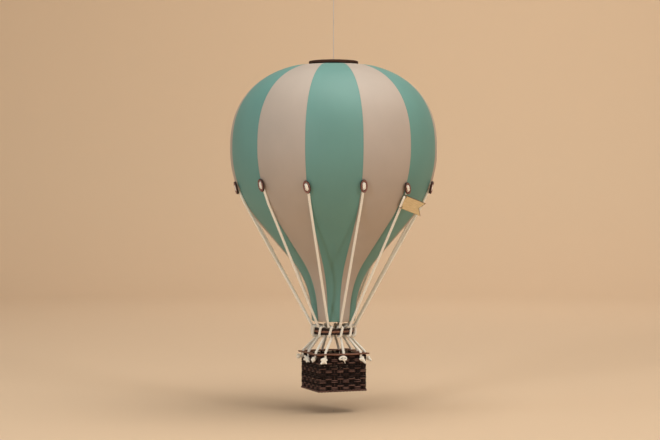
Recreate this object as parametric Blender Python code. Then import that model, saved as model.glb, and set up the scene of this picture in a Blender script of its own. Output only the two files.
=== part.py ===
# Decorative hot air balloon that hangs on a thin line: a striped shell of twelve gores,
# a crown disc, twelve toggles with their rigging cords, a load ring, a woven basket and a flag.
# Metres, +Z up. The origin is the top of the hanging loop, inside, where a hook carries it.
# Angles round the balloon count from -Y, its front, towards +X.

import math

import bpy
import bmesh
from mathutils import Matrix, Vector

MM = 0.001
GAP = 0.3 * MM                      # left between pieces that touch

# Heights, down from the origin or from the equator
DISC_TOP = -78.0 * MM
DISC_THICKNESS = 2.6 * MM
EQUATOR = DISC_TOP - 85.8 * MM
RING_TOP = DISC_TOP - 257.2 * MM
RIM_TOP = DISC_TOP - 280.7 * MM
BASKET_BOTTOM = DISC_TOP - 317.5 * MM

# Envelope: a full crown, a round shoulder, a straight taper, a throat and a short sleeve
GORES = 12
GORE_COLUMNS = 3
STRIPE_START = math.radians(-35.8)  # left edge of the first gore
FRONT_GORE = math.radians(30.9)     # the first gore is a little wider than the others
EQUATOR_RADIUS = 100.0 * MM
CROWN_HEIGHT = 84.5 * MM
CROWN_POWER = 2.4
CROWN_ROWS = 9
CROWN_START = 0.24                  # share of the quarter turn hidden under the disc
CROWN_OPENING = 16.0 * MM
SHOULDER_RADIUS = 102.7 * MM
SHOULDER_TURN = math.radians(40.6)
SHOULDER_ROWS = 5
TAPER_LENGTH = 52.0 * MM
THROAT_RADIUS = 80.9 * MM
SLEEVE_SLOPE = math.radians(5.6)
THROAT_ROWS = 4
SLEEVE_LENGTH = 14.3 * MM
WALL = 2.0 * MM

# Crown disc and the line that it hangs on
DISC_RADIUS = 23.85 * MM
DISC_HOLE = 1.0 * MM
DISC_ROUNDING = 1.0 * MM
DISC_SEGMENTS = 32
LINE_RADIUS = 0.3 * MM
LOOP_INSIDE = 3.4 * MM              # half the clear width of the hanging loop
LOOP_HEIGHT = 13.0 * MM
LOOP_STEPS = 12
FOOT_SPREAD = 0.45 * MM             # the loop's ends, side by side on the knot
KNOT_RADIUS = 1.1 * MM
STOPPER_RADIUS = 3.0 * MM
STOPPER_SIDES = 2                   # bevel resolution, eight sides

# Toggles, oval with a raised rim and two holes
TOGGLE_BELOW_EQUATOR = 35.8 * MM
TOGGLE_LENGTH = 12.4 * MM
TOGGLE_WIDTH = 6.9 * MM
TOGGLE_THICKNESS = 2.2 * MM
TOGGLE_FLOOR = 1.0 * MM             # thickness inside the rim
TOGGLE_RIM = 1.3 * MM
TOGGLE_EDGE = 0.3 * MM              # chamfer round its outer edge
TOGGLE_STANDOFF = 1.7 * MM          # from the envelope to the middle of the toggle's back
TOGGLE_TILT = math.radians(7.5)     # its lower end stands off further, over the cord
TOGGLE_LEAN = 6.0                   # degrees; its top leans to the left, seen from outside
TOGGLE_HOLE_SPACING = 6.0 * MM
TOGGLE_HOLE = 1.2 * MM
TOGGLE_SEGMENTS = 16
HOLE_SEGMENTS = 8
# Toggles tied a little off their seams: millimetres down and sideways, and degrees of lean
TOGGLE_NUDGES = {0: (-0.5, 1.4, 5.0), 1: (1.3, 0.2, 28.0), 9: (0.4, 0.0, 2.0),
                 10: (-1.4, 1.7, 5.0), 11: (0.4, 0.5, 10.0)}

# Rigging cords
CORD_RADIUS = 1.3 * MM
CORD_IN_TOGGLE = 0.75 * MM          # pressed thin in its holes and behind it
CORD_OVER_TOGGLE = 0.7 * MM
CORD_SIDES = 1                      # bevel resolution, six sides
TOGGLE_BEND = 0.9 * MM
WRAP_SHIFT = 1.45 * MM              # each strand's sideways place on the ring
WRAP_SLANT = -0.6                   # where the front strand starts, as a share of that
CORD_SEAT = CORD_RADIUS + GAP

# Load ring
RING_OUTER = 19.8 * MM
RING_INNER = 16.6 * MM
RING_HEIGHT = 6.5 * MM
RING_ROUNDING = 0.5 * MM
RING_SEGMENTS = 36

# Basket, square with its sides along X and Y
BASKET_HALF = 24.5 * MM
BASKET_WALL = 2.6 * MM
BASKET_CORNER = 2.5 * MM
FLOOR_THICKNESS = 2.4 * MM
RIM_THICKNESS = 1.5 * MM
RIM_OVERHANG = 2.8 * MM
RIM_INSIDE = 22.4 * MM
CORD_FROM_MIDDLE = 24.9 * MM        # how far out the cords go down through the rim
CORD_HOLE = 1.65 * MM               # through the rim, and on as a groove in the wall's face
CORD_GROOVE_END = 2.2 * MM          # how far the groove runs on below the knot's middle
CUTTER_REACH = 1.0 * MM             # how far its cutter stands out above the rim
SIDE_HOLE = 17.8 * MM               # from a side's middle to its outer holes
RIM_BEND = 0.8 * MM                 # the cord's bends, just above the rim and at its knot
# Holes a little out of place, in millimetres along their side, seen from outside
HOLE_SHIFTS = {0: 0.9, 1: 0.8, 2: -1.5, 5: 3.0, 6: 2.4, 9: -2.5}

# Knots outside the basket, under the rim, with a short tail
KNOT_BELOW_RIM = 5.3 * MM
BASKET_KNOT_RADIUS = 2.8 * MM
BASKET_KNOT_LENGTH = 4.4 * MM
KNOT_STEPS = 5
TAIL_RADIUS = 0.9 * MM
TAIL_END_RADIUS = 0.45 * MM
TAIL_DROP = 3.3 * MM

# Flag: a blank swallow-tailed pennant of thin wood, laced on the second cord
FLAG_CORD = 1
FLAG_LENGTH = 21.2 * MM
FLAG_HEIGHT = 13.3 * MM
FLAG_THICKNESS = 1.5 * MM
FLAG_NOTCH = 4.2 * MM
FLAG_BELOW_TOGGLE = 5.9 * MM        # from the toggle's middle to the flag's top edge
FLAG_EDGE = 1.25 * MM               # from the left, top and bottom edges to a hole
FLAG_HOLE = 0.95 * MM
FLAG_TURN = math.radians(-20.8)     # the way that the flag's face looks, round the balloon
LACE_RADIUS = 0.75 * MM
LACE_RUN = 1.3 * MM                 # stretch on the cord's own line past each hole
LACE_BEND = 0.9 * MM


def material(name, color, roughness, metallic=0.0):
    made = bpy.data.materials.new(name)
    made.use_nodes = True
    shader = made.node_tree.nodes["Principled BSDF"]
    shader.inputs["Base Color"].default_value = (*color, 1.0)
    shader.inputs["Roughness"].default_value = roughness
    shader.inputs["Metallic"].default_value = metallic
    made.diffuse_color = (*color, 1.0)
    return made


def add_object(name, mesh, mat, smooth_angle=None):
    obj = bpy.data.objects.new(name, mesh)
    bpy.context.scene.collection.objects.link(obj)
    mesh.materials.append(mat)
    if smooth_angle is not None:
        mesh.shade_smooth()
        mesh.set_sharp_from_angle(angle=smooth_angle)
    return obj


def mesh_from(name, bm):
    bmesh.ops.recalc_face_normals(bm, faces=bm.faces)
    mesh = bpy.data.meshes.new(name)
    bm.to_mesh(mesh)
    bm.free()
    return mesh


def around(radius, angle, z=0.0):
    """The point at a radius and an angle round the balloon."""
    return Vector((radius * math.sin(angle), -radius * math.cos(angle), z))


def turned(name, profile, segments):
    """A closed outline of (radius, height) points turned round Z."""
    bm = bmesh.new()
    verts = [bm.verts.new((r, 0.0, z)) for r, z in profile]
    edges = [bm.edges.new((a, b)) for a, b in zip(verts, verts[1:] + verts[:1])]
    bmesh.ops.spin(bm, geom=verts + edges, cent=(0, 0, 0), axis=(0, 0, 1),
                   angle=math.tau, steps=segments, use_merge=True)
    return mesh_from(name, bm)


def chamfered(inner, outer, low, high, rounding):
    """The outline of a ring's section with its outer corners taken off."""
    return [(inner, low), (outer - rounding, low), (outer, low + rounding),
            (outer, high - rounding), (outer - rounding, high), (inner, high)]


def extruded(name, loops, thickness):
    """A flat outline, with the outlines of its holes, given a thickness along Z."""
    bm = bmesh.new()
    edges = []
    for loop in loops:
        verts = [bm.verts.new((x, y, 0.0)) for x, y in loop]
        edges += [bm.edges.new((a, b)) for a, b in zip(verts, verts[1:] + verts[:1])]
    bmesh.ops.triangle_fill(bm, edges=edges, use_beauty=True)
    lid = bmesh.ops.extrude_face_region(bm, geom=bm.faces[:])
    raised = [item for item in lid["geom"] if isinstance(item, bmesh.types.BMVert)]
    bmesh.ops.translate(bm, verts=raised, vec=(0, 0, thickness))
    return mesh_from(name, bm)


def circle(radius, segments, x=0.0, y=0.0):
    steps = [math.tau * (i + 0.5) / segments for i in range(segments)]
    return [(x + radius * math.cos(a), y + radius * math.sin(a)) for a in steps]


def rounded_square(half, corner, steps=3):
    """The outline of a square with round corners."""
    points = []
    for quarter in range(4):
        turn = quarter * math.pi / 2
        for i in range(steps + 1):
            angle = math.pi / 2 * i / steps
            x = half - corner + corner * math.cos(angle)
            y = half - corner + corner * math.sin(angle)
            points.append((x * math.cos(turn) - y * math.sin(turn),
                           x * math.sin(turn) + y * math.cos(turn)))
    return points


def filleted(corners, steps=2):
    """Points of a route through corners, each a (point, bend radius) pair."""
    route = [corners[0][0]]
    for (before, _), (corner, radius), (after, _) in zip(corners, corners[1:], corners[2:]):
        back = (before - corner).normalized()
        ahead = (after - corner).normalized()
        turn = math.pi - back.angle(ahead)
        if radius == 0.0 or turn < math.radians(2.0):
            route.append(corner)
            continue
        reach = radius * math.tan(turn / 2)
        middle = corner + (back + ahead).normalized() * (radius / math.cos(turn / 2))
        first = corner + back * reach - middle
        axis = first.cross(corner + ahead * reach - middle).normalized()
        for i in range(steps + 1):
            route.append(middle + Matrix.Rotation(turn * i / steps, 3, axis) @ first)
    return route + [corners[-1][0]]


def tube(name, points, radii, mat, sides=CORD_SIDES):
    """A cord along the points, with its own radius at each of them."""
    curve = bpy.data.curves.new(name, "CURVE")
    curve.dimensions = "3D"
    curve.bevel_depth = 1.0
    curve.bevel_resolution = sides
    curve.use_fill_caps = True
    spline = curve.splines.new("POLY")
    spline.points.add(len(points) - 1)
    for spot, point, radius in zip(spline.points, points, radii):
        spot.co = (*point, 1.0)
        spot.radius = radius
    obj = bpy.data.objects.new(name, curve)
    bpy.context.scene.collection.objects.link(obj)
    curve.materials.append(mat)
    return obj


def cut(obj, cutter):
    """Takes the cutter's shape out of an object."""
    cutter.hide_render = True
    cutter.display_type = "WIRE"
    boolean = obj.modifiers.new("cut", "BOOLEAN")
    boolean.operation = "DIFFERENCE"
    boolean.solver = "EXACT"
    boolean.object = cutter


def shoulder_point(below, offset=0.0):
    """Radius and slope of the shoulder at a height below the equator, on a shell offset outward."""
    slope = math.asin(below / (SHOULDER_RADIUS + offset))
    return EQUATOR_RADIUS - SHOULDER_RADIUS + (SHOULDER_RADIUS + offset) * math.cos(slope), slope


def envelope_profile():
    """Rows of the shell from the crown to the mouth: radius, height and the outward slope there."""
    flat = DISC_TOP - DISC_THICKNESS - GAP
    rows = [(CROWN_OPENING, flat, math.pi / 2)]
    for i in range(CROWN_ROWS):
        share = CROWN_START + (1.0 - CROWN_START) * i / (CROWN_ROWS - 1)
        angle = math.pi / 2 * (1.0 - share)
        radius = EQUATOR_RADIUS * math.cos(angle) ** (2 / CROWN_POWER)
        height = CROWN_HEIGHT * math.sin(angle) ** (2 / CROWN_POWER)
        across = (radius / EQUATOR_RADIUS) ** (CROWN_POWER - 1) / EQUATOR_RADIUS
        along = (height / CROWN_HEIGHT) ** (CROWN_POWER - 1) / CROWN_HEIGHT
        rows.append((radius, min(EQUATOR + height, flat), math.atan2(along, across)))
    radius, z = EQUATOR_RADIUS, EQUATOR
    for i in range(1, SHOULDER_ROWS + 1):
        slope = SHOULDER_TURN * i / SHOULDER_ROWS
        radius = EQUATOR_RADIUS - SHOULDER_RADIUS * (1 - math.cos(slope))
        z = EQUATOR - SHOULDER_RADIUS * math.sin(slope)
        rows.append((radius, z, -slope))
    radius -= TAPER_LENGTH * math.sin(SHOULDER_TURN)
    z -= TAPER_LENGTH * math.cos(SHOULDER_TURN)
    rows.append((radius, z, -SHOULDER_TURN))
    for i in range(1, THROAT_ROWS + 1):
        slope = SHOULDER_TURN + (SLEEVE_SLOPE - SHOULDER_TURN) * i / THROAT_ROWS
        throat_radius = radius - THROAT_RADIUS * (math.cos(slope) - math.cos(SHOULDER_TURN))
        throat_z = z - THROAT_RADIUS * (math.sin(SHOULDER_TURN) - math.sin(slope))
        rows.append((throat_radius, throat_z, -slope))
    radius = throat_radius - SLEEVE_LENGTH * math.sin(SLEEVE_SLOPE)
    rows.append((radius, throat_z - SLEEVE_LENGTH * math.cos(SLEEVE_SLOPE), -SLEEVE_SLOPE))
    return rows


def gore(name, start, end, mat):
    """One panel of the shell, a wall thick, half a gap short of its neighbours on each side."""
    width = end - start
    bm = bmesh.new()
    layers = []
    for depth in (0.0, WALL):
        grid = []
        for radius, z, slope in envelope_profile():
            r, height = radius - depth * math.cos(slope), z - depth * math.sin(slope)
            margin = GAP / 2 / r
            angles = [start + margin + (width - 2 * margin) * i / GORE_COLUMNS
                      for i in range(GORE_COLUMNS + 1)]
            grid.append([bm.verts.new(around(r, a, height)) for a in angles])
        layers.append(grid)
    for grid in layers:
        for upper, lower in zip(grid, grid[1:]):
            for i in range(GORE_COLUMNS):
                bm.faces.new((upper[i], upper[i + 1], lower[i + 1], lower[i]))
    outlines = []
    for grid in layers:
        left, right = [row[0] for row in grid], [row[-1] for row in grid]
        outlines.append(grid[0][:-1] + right[:-1] + grid[-1][:0:-1] + left[:0:-1])
    outer, inner = outlines
    for i in range(len(outer)):
        j = (i + 1) % len(outer)
        bm.faces.new((outer[i], outer[j], inner[j], inner[i]))
    return add_object(name, mesh_from(name, bm), mat, math.radians(40))


def toggle_frame(index):
    """The place and the along, across and outward directions of the toggle on a seam."""
    lower, sideways, degrees = TOGGLE_NUDGES.get(index, (0.0, 0.0, TOGGLE_LEAN))
    angle = seam_angle(index)
    below = TOGGLE_BELOW_EQUATOR + lower * MM
    radius, slope = shoulder_point(below)
    outward = around(math.cos(slope - TOGGLE_TILT), angle, -math.sin(slope - TOGGLE_TILT))
    side = Vector((math.cos(angle), math.sin(angle), 0.0))
    down = side.cross(outward)
    if down.z > 0:
        down.negate()
    lean = math.radians(degrees)
    along = down * math.cos(lean) + side * math.sin(lean)
    across = outward.cross(along)
    place = around(radius, angle, EQUATOR - below) + side * sideways * MM
    return place, along, across, outward


def oval(length, width, segments):
    steps = [math.tau * i / segments for i in range(segments)]
    return [(length / 2 * math.cos(a), width / 2 * math.sin(a)) for a in steps]


def toggle_mesh():
    """The oval plate with its two holes and its raised rim, lying on its back."""
    bm = bmesh.new()
    holes = [circle(TOGGLE_HOLE, HOLE_SEGMENTS, x, 0.0) for x in
             (-TOGGLE_HOLE_SPACING / 2, TOGGLE_HOLE_SPACING / 2)]
    rim_inside = oval(TOGGLE_LENGTH - 2 * TOGGLE_RIM, TOGGLE_WIDTH - 2 * TOGGLE_RIM,
                      TOGGLE_SEGMENTS)
    crest = oval(TOGGLE_LENGTH - 2 * TOGGLE_EDGE, TOGGLE_WIDTH - 2 * TOGGLE_EDGE,
                 TOGGLE_SEGMENTS)
    outer = oval(TOGGLE_LENGTH, TOGGLE_WIDTH, TOGGLE_SEGMENTS)

    def ring(points, z):
        return [bm.verts.new((x, y, z)) for x, y in points]

    def join(one, other):
        for i in range(len(one)):
            j = (i + 1) % len(one)
            bm.faces.new((one[i], one[j], other[j], other[i]))

    def loop_edges(verts):
        return [bm.edges.get((a, b)) or bm.edges.new((a, b))
                for a, b in zip(verts, verts[1:] + verts[:1])]

    back = ring(crest, 0.0)
    sides = [ring(outer, TOGGLE_EDGE), ring(outer, TOGGLE_THICKNESS - TOGGLE_EDGE)]
    top = ring(crest, TOGGLE_THICKNESS)
    lip = ring(rim_inside, TOGGLE_THICKNESS - TOGGLE_EDGE)
    floor = ring(rim_inside, TOGGLE_FLOOR)
    for one, other in zip([back, *sides, top, lip], [*sides, top, lip, floor]):
        join(one, other)
    low = [ring(points, 0.0) for points in holes]
    high = [ring(points, TOGGLE_FLOOR) for points in holes]
    for one, other in zip(low, high):
        join(one, other)
    for outline, inside in ((back, low), (floor, high)):
        edges = loop_edges(outline) + [e for verts in inside for e in loop_edges(verts)]
        bmesh.ops.triangle_fill(bm, edges=edges, use_beauty=True)
    return mesh_from("toggle", bm)


def toggle(index, mesh, mat):
    obj = bpy.data.objects.new(f"toggle_{index + 1:02d}", mesh)
    bpy.context.scene.collection.objects.link(obj)
    place, along, across, outward = toggle_frame(index)
    turn = Matrix((along, across, outward)).transposed().to_4x4()
    obj.matrix_world = Matrix.Translation(place + outward * TOGGLE_STANDOFF) @ turn
    if not mesh.materials:
        mesh.materials.append(mat)
    return obj


def ring_point(angle, side, r, z):
    """A point by the ring's section at an angle, moved sideways along the ring."""
    return around(r, angle, z) + Vector((math.cos(angle), math.sin(angle), 0.0)) * side


def basket_hole(index):
    """The middle of a cord's hole at the top of the rim, and the way out from the basket."""
    side, place = divmod(index + 1, 3)
    turn = side * math.pi / 2
    out = around(1.0, turn)
    along = Vector((math.cos(turn), math.sin(turn), 0.0))
    shift = (place - 1) * SIDE_HOLE + HOLE_SHIFTS.get(index, 0.0) * MM
    return out * CORD_FROM_MIDDLE + along * shift + Vector((0, 0, RIM_TOP)), out


def cord_top(index):
    """Corners of the stretch through the toggle, down to the bend behind its lower hole."""
    place, along, across, outward = toggle_frame(index)
    half = TOGGLE_HOLE_SPACING / 2
    over = TOGGLE_STANDOFF + TOGGLE_FLOOR + GAP + CORD_OVER_TOGGLE
    under = CORD_IN_TOGGLE + GAP - half * math.sin(TOGGLE_TILT)

    def local(down, out):
        return place + along * down + outward * out

    return [(local(-half, GAP + half * math.sin(TOGGLE_TILT)), 0.0),
            (local(-half, over), CORD_OVER_TOGGLE), (local(half, over), CORD_OVER_TOGGLE),
            (local(half, under), TOGGLE_BEND)]


def tangent_slope(shoulder, end_r, end_z):
    """The slope at which a line to the end leaves the shoulder, from the vertical."""
    across = EQUATOR_RADIUS - SHOULDER_RADIUS - end_r
    drop = EQUATOR - end_z
    return math.asin(shoulder / math.hypot(drop, across)) + math.atan2(across, drop)


def cord_leave(index):
    """Where the cord's straight run leaves the shoulder, in line with the toggle and the ring."""
    start = cord_top(index)[-1][0]
    end = cord_wrap(ring_angle(index))[0][0]
    seat = SHOULDER_RADIUS + CORD_SEAT
    slope = tangent_slope(seat, end.xy.length, end.z)
    radius, height = EQUATOR_RADIUS - SHOULDER_RADIUS + seat * math.cos(slope), seat * math.sin(slope)
    share = (start.xy.length - radius) / (start.xy.length - end.xy.length)
    way = start.xy.lerp(end.xy, share).normalized() * radius
    return Vector((*way, EQUATOR - height))


def cord_wrap(angle):
    """Corners of the cord's turn round the ring: over, down inside, under, up, over and down."""
    inside, outside = RING_INNER - CORD_SEAT, RING_OUTER + CORD_SEAT
    over, under = RING_TOP + CORD_SEAT, RING_TOP - RING_HEIGHT - CORD_SEAT
    stops = ((outside, over, -1.0), (inside, over, -1.0), (inside, under, -1.0),
             (outside, under, WRAP_SLANT), (outside, over, 1.0), (inside, over, 1.0),
             (inside, under, 1.0))
    return [(ring_point(angle, side * WRAP_SHIFT, r, z), CORD_SEAT) for r, z, side in stops]


def swelling(start, end, radius, least):
    """Points and radii of a ball on a cord, never thinner than the cord."""
    points, radii = [], []
    for i in range(KNOT_STEPS + 1):
        share = (1 - math.cos(math.pi * i / KNOT_STEPS)) / 2
        points.append(start.lerp(end, share))
        radii.append(max(least, 2 * radius * math.sqrt(share * (1 - share))))
    return points, radii


def knot_end(foot, out):
    """Points and radii of the cord's knot in front of the wall and its tail."""
    start = foot + out * RIM_BEND
    end = start + out * BASKET_KNOT_LENGTH
    points, radii = swelling(start, end, BASKET_KNOT_RADIUS, CORD_RADIUS)
    bend = end + out * TAIL_RADIUS - Vector((0, 0, TAIL_RADIUS))
    return (points + [bend, bend - Vector((0, 0, TAIL_DROP))],
            radii + [TAIL_RADIUS, TAIL_END_RADIUS])


def cord_radii(points, index):
    """The cord is pressed thin in and behind its toggle and has its full radius below it."""
    place, _, _, outward = toggle_frame(index)
    radii = []
    for point in points:
        if (point - place).length > TOGGLE_LENGTH / 2:
            radii.append(CORD_RADIUS)
        elif (point - place).dot(outward) > TOGGLE_STANDOFF + TOGGLE_FLOOR:
            radii.append(CORD_OVER_TOGGLE)
        else:
            radii.append(CORD_IN_TOGGLE)
    return radii


def cord(index, mat, start=None):
    """A rigging cord from its toggle to its knot, or from a point on its straight run."""
    hole, out = basket_hole(index)
    foot = hole - Vector((0, 0, KNOT_BELOW_RIM))
    top = cord_top(index) + [(cord_leave(index), 0.0)] if start is None else [(start, 0.0)]
    corners = top + cord_wrap(ring_angle(index))
    corners += [(hole + Vector((0, 0, RIM_BEND)), RIM_BEND), (foot, RIM_BEND),
                (foot + out * RIM_BEND, 0.0)]
    points = filleted(corners)[:-1]
    knot_points, knot_radii = knot_end(foot, out)
    radii = cord_radii(points, index)
    return tube(f"cord_{index + 1:02d}", points + knot_points, radii + knot_radii, mat)


def seam_angle(index):
    """The angle of the seam at a gore's right edge."""
    return STRIPE_START + FRONT_GORE + (math.tau - FRONT_GORE) * index / (GORES - 1)


def ring_angle(index):
    return math.tau * index / GORES


def flag_line():
    """Where the straight run of the flag's cord leaves the envelope, and its direction."""
    start = cord_leave(FLAG_CORD)
    end = cord_wrap(ring_angle(FLAG_CORD))[0][0]
    return start, (end - start).normalized()


def flag_frame():
    """The flag's lacing line: its upper hole's foot on the cord, down, across and face."""
    start, down = flag_line()
    place = toggle_frame(FLAG_CORD)[0]
    hole = FLAG_BELOW_TOGGLE + FLAG_EDGE - (start - place).dot(down)
    view = around(1.0, FLAG_TURN)
    face = (view - down * view.dot(down)).normalized()
    across = face.cross(down)
    if across.x < 0:
        across.negate()
    return start + down * hole, down, across, face


def flag(mat):
    """The pennant, its lower face just clear of the cord, with a hole near each left corner."""
    foot, down, across, face = flag_frame()
    left, right = -FLAG_EDGE, FLAG_LENGTH - FLAG_EDGE
    top, bottom = -FLAG_EDGE, FLAG_HEIGHT - FLAG_EDGE
    middle = (top + bottom) / 2
    outline = [(left, top), (right, top), (right - FLAG_NOTCH, middle), (right, bottom),
               (left, bottom)]
    holes = [circle(FLAG_HOLE, HOLE_SEGMENTS, 0.0, y) for y in (0.0, hole_spacing())]
    mesh = extruded("flag", [outline, *holes], FLAG_THICKNESS)
    obj = add_object("flag", mesh, mat)
    sign = 1.0 if across.cross(down).dot(face) > 0 else -1.0
    turn = Matrix((across, down, face * sign)).transposed().to_4x4()
    lift = CORD_SEAT if sign > 0 else CORD_SEAT + FLAG_THICKNESS
    obj.matrix_world = Matrix.Translation(foot + face * lift) @ turn
    return obj


def hole_spacing():
    return FLAG_HEIGHT - 2 * FLAG_EDGE


def flag_lace(mat):
    """The stretch of cord that runs out through the flag's upper hole and back in at the lower."""
    foot, down, across, face = flag_frame()
    over = CORD_SEAT + FLAG_THICKNESS + GAP + LACE_RADIUS
    stops = ((-LACE_RUN, 0.0), (0.0, 0.0), (0.0, over), (hole_spacing(), over),
             (hole_spacing(), 0.0), (hole_spacing() + LACE_RUN, 0.0))
    corners = [(foot + down * s + face * out, LACE_BEND) for s, out in stops]
    points = filleted(corners)
    return tube("flag_lace", points, [LACE_RADIUS] * len(points), mat)


def flag_cord_top(mat):
    """The flag cord's stretch through its toggle, down to the lacing."""
    foot, down, _, _ = flag_frame()
    end = foot - down * (LACE_RUN + GAP)
    points = filleted(cord_top(FLAG_CORD) + [(end, 0.0)])
    radii = cord_radii(points, FLAG_CORD)[:-1] + [LACE_RADIUS]
    return tube(f"cord_{FLAG_CORD + 1:02d}_top", points, radii, mat)


def basket(wicker, rim_wicker):
    """The floor, the wall, and the rim on top with the cords' holes and grooves cut."""
    inner, corner = BASKET_HALF - BASKET_WALL, BASKET_CORNER - BASKET_WALL / 2
    floor = extruded("basket_floor", [rounded_square(inner - GAP, corner)], FLOOR_THICKNESS)
    add_object("basket_floor", floor, wicker).location.z = BASKET_BOTTOM
    wall_top = RIM_TOP - RIM_THICKNESS - GAP
    loops = [rounded_square(BASKET_HALF, BASKET_CORNER), rounded_square(inner, corner)]
    wall_mesh = extruded("basket_wall", loops, wall_top - BASKET_BOTTOM)
    wall = add_object("basket_wall", wall_mesh, wicker)
    wall.location.z = BASKET_BOTTOM
    rim_outer = BASKET_HALF + RIM_OVERHANG
    loops = [rounded_square(rim_outer, BASKET_CORNER), rounded_square(RIM_INSIDE, corner)]
    rim = add_object("basket_rim", extruded("basket_rim", loops, RIM_THICKNESS), rim_wicker)
    rim.location.z = RIM_TOP - RIM_THICKNESS
    depth = KNOT_BELOW_RIM + CORD_GROOVE_END
    hole_mesh = extruded("hole", [circle(CORD_HOLE, HOLE_SEGMENTS)], depth + CUTTER_REACH)
    for index in range(GORES):
        cutter = add_object(f"hole_cutter_{index + 1:02d}", hole_mesh, wicker)
        cutter.location = basket_hole(index)[0] - Vector((0, 0, depth))
        cut(wall, cutter)
        cut(rim, cutter)


def hanging_line(mat):
    """The loop at the top, its knot, the line down through the disc and the stopper under it."""
    loop_radius = LOOP_INSIDE + LINE_RADIUS
    foot = Vector((FOOT_SPREAD, 0.0, LINE_RADIUS - LOOP_HEIGHT))
    points = [foot]
    for i in range(LOOP_STEPS + 1):
        angle = math.pi * i / LOOP_STEPS
        points.append(Vector((loop_radius * math.cos(angle), 0.0,
                              loop_radius * math.sin(angle) - LOOP_INSIDE)))
    points.append(Vector((-foot.x, 0.0, foot.z)))
    tube("hanging_loop", points, [LINE_RADIUS] * len(points), mat)

    knot_top = Vector((0, 0, -LOOP_HEIGHT - GAP))
    knot_end_point = knot_top - Vector((0, 0, 2 * KNOT_RADIUS))
    knot, knot_radii = swelling(knot_top, knot_end_point, KNOT_RADIUS, LINE_RADIUS)
    stopper_top = Vector((0, 0, DISC_TOP - DISC_THICKNESS - GAP))
    stopper_end = stopper_top - Vector((0, 0, 2 * STOPPER_RADIUS))
    stopper, stopper_radii = swelling(stopper_top, stopper_end, STOPPER_RADIUS, LINE_RADIUS)
    tube("hanging_line", knot + stopper, knot_radii + stopper_radii, mat, sides=STOPPER_SIDES)


def build():
    for obj in list(bpy.data.objects):
        bpy.data.objects.remove(obj)
    teal = material("teal shell", (0.16, 0.36, 0.31), 0.75)
    beige = material("beige shell", (0.52, 0.42, 0.34), 0.75)
    dark_wood = material("dark wood", (0.035, 0.018, 0.012), 0.45)
    toggle_wood = material("toggle wood", (0.13, 0.05, 0.035), 0.45)
    cotton = material("cotton cord", (0.70, 0.60, 0.45), 0.9)
    bands = material("ring bands", (0.06, 0.03, 0.022), 0.6)
    wicker = material("wicker", (0.045, 0.022, 0.016), 0.6)
    rim_wicker = material("rim wicker", (0.07, 0.03, 0.02), 0.55)
    pale_wood = material("pale wood", (0.48, 0.34, 0.15), 0.6)
    nylon = material("nylon line", (0.55, 0.52, 0.52), 0.35)

    for i in range(GORES):
        start = seam_angle(i - 1) if i else STRIPE_START
        gore(f"gore_{i + 1:02d}", start, seam_angle(i), teal if i % 2 == 0 else beige)
    low = DISC_TOP - DISC_THICKNESS
    disc = turned("crown_disc", chamfered(DISC_HOLE, DISC_RADIUS, low, DISC_TOP, DISC_ROUNDING),
                  DISC_SEGMENTS)
    add_object("crown_disc", disc, dark_wood, math.radians(40))
    ring = turned("load_ring", chamfered(RING_INNER, RING_OUTER, RING_TOP - RING_HEIGHT, RING_TOP,
                                         RING_ROUNDING), RING_SEGMENTS)
    add_object("load_ring", ring, bands, math.radians(40))
    toggles = toggle_mesh()
    for i in range(GORES):
        toggle(i, toggles, toggle_wood)
    foot, down, _, _ = flag_frame()
    below = foot + down * (hole_spacing() + LACE_RUN + GAP)
    for i in range(GORES):
        cord(i, cotton, below if i == FLAG_CORD else None)
    flag_cord_top(cotton)
    flag(pale_wood)
    flag_lace(cotton)
    basket(wicker, rim_wicker)
    hanging_line(nylon)


build()
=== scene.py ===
import math

import bpy
import numpy as np
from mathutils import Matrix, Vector


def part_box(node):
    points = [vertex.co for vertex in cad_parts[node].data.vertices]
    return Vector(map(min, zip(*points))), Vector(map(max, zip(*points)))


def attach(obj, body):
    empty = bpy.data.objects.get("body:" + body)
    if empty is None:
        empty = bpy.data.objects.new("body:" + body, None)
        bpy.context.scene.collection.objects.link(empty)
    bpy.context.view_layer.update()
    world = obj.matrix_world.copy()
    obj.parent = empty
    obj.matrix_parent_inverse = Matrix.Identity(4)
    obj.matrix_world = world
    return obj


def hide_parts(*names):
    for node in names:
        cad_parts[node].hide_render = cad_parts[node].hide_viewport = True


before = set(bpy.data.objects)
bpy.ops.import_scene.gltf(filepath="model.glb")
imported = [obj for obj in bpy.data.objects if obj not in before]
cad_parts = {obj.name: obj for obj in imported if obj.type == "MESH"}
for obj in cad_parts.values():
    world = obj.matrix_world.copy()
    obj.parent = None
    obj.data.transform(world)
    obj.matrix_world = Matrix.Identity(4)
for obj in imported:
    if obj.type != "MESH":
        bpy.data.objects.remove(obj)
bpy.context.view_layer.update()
mm = 0.001
fullTurn = 2 * np.pi

# Camera: level with the envelope's lower half, 20.8 degrees left of the balloon's front
view = dict(azimuth=math.radians(-20.8), distance=1.603, height=-0.2160, sensor=36.0,
            focalPixels=1656.0, frameWidth=660, frameHeight=440, axisPixel=333.55, horizonPixel=204.0)


def makeCamera():
    # the lens looks level; a small turn and tilt put the axis and the horizon where they belong
    data = bpy.data.cameras.new("camera")
    data.sensor_width = view["sensor"]
    data.lens = view["focalPixels"] / view["frameWidth"] * view["sensor"]
    camera = bpy.data.objects.new("camera", data)
    bpy.context.scene.collection.objects.link(camera)
    side = math.atan((view["axisPixel"] - view["frameWidth"] / 2) / view["focalPixels"])
    tilt = math.atan((view["frameHeight"] / 2 - view["horizonPixel"]) / view["focalPixels"])
    azimuth = view["azimuth"]
    camera.location = (view["distance"] * math.sin(azimuth), -view["distance"] * math.cos(azimuth),
                       view["height"])
    camera.rotation_euler = (math.pi / 2 - tilt, 0.0, azimuth + side)
    bpy.context.scene.camera = camera


makeCamera()
print("camera placed")


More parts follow.
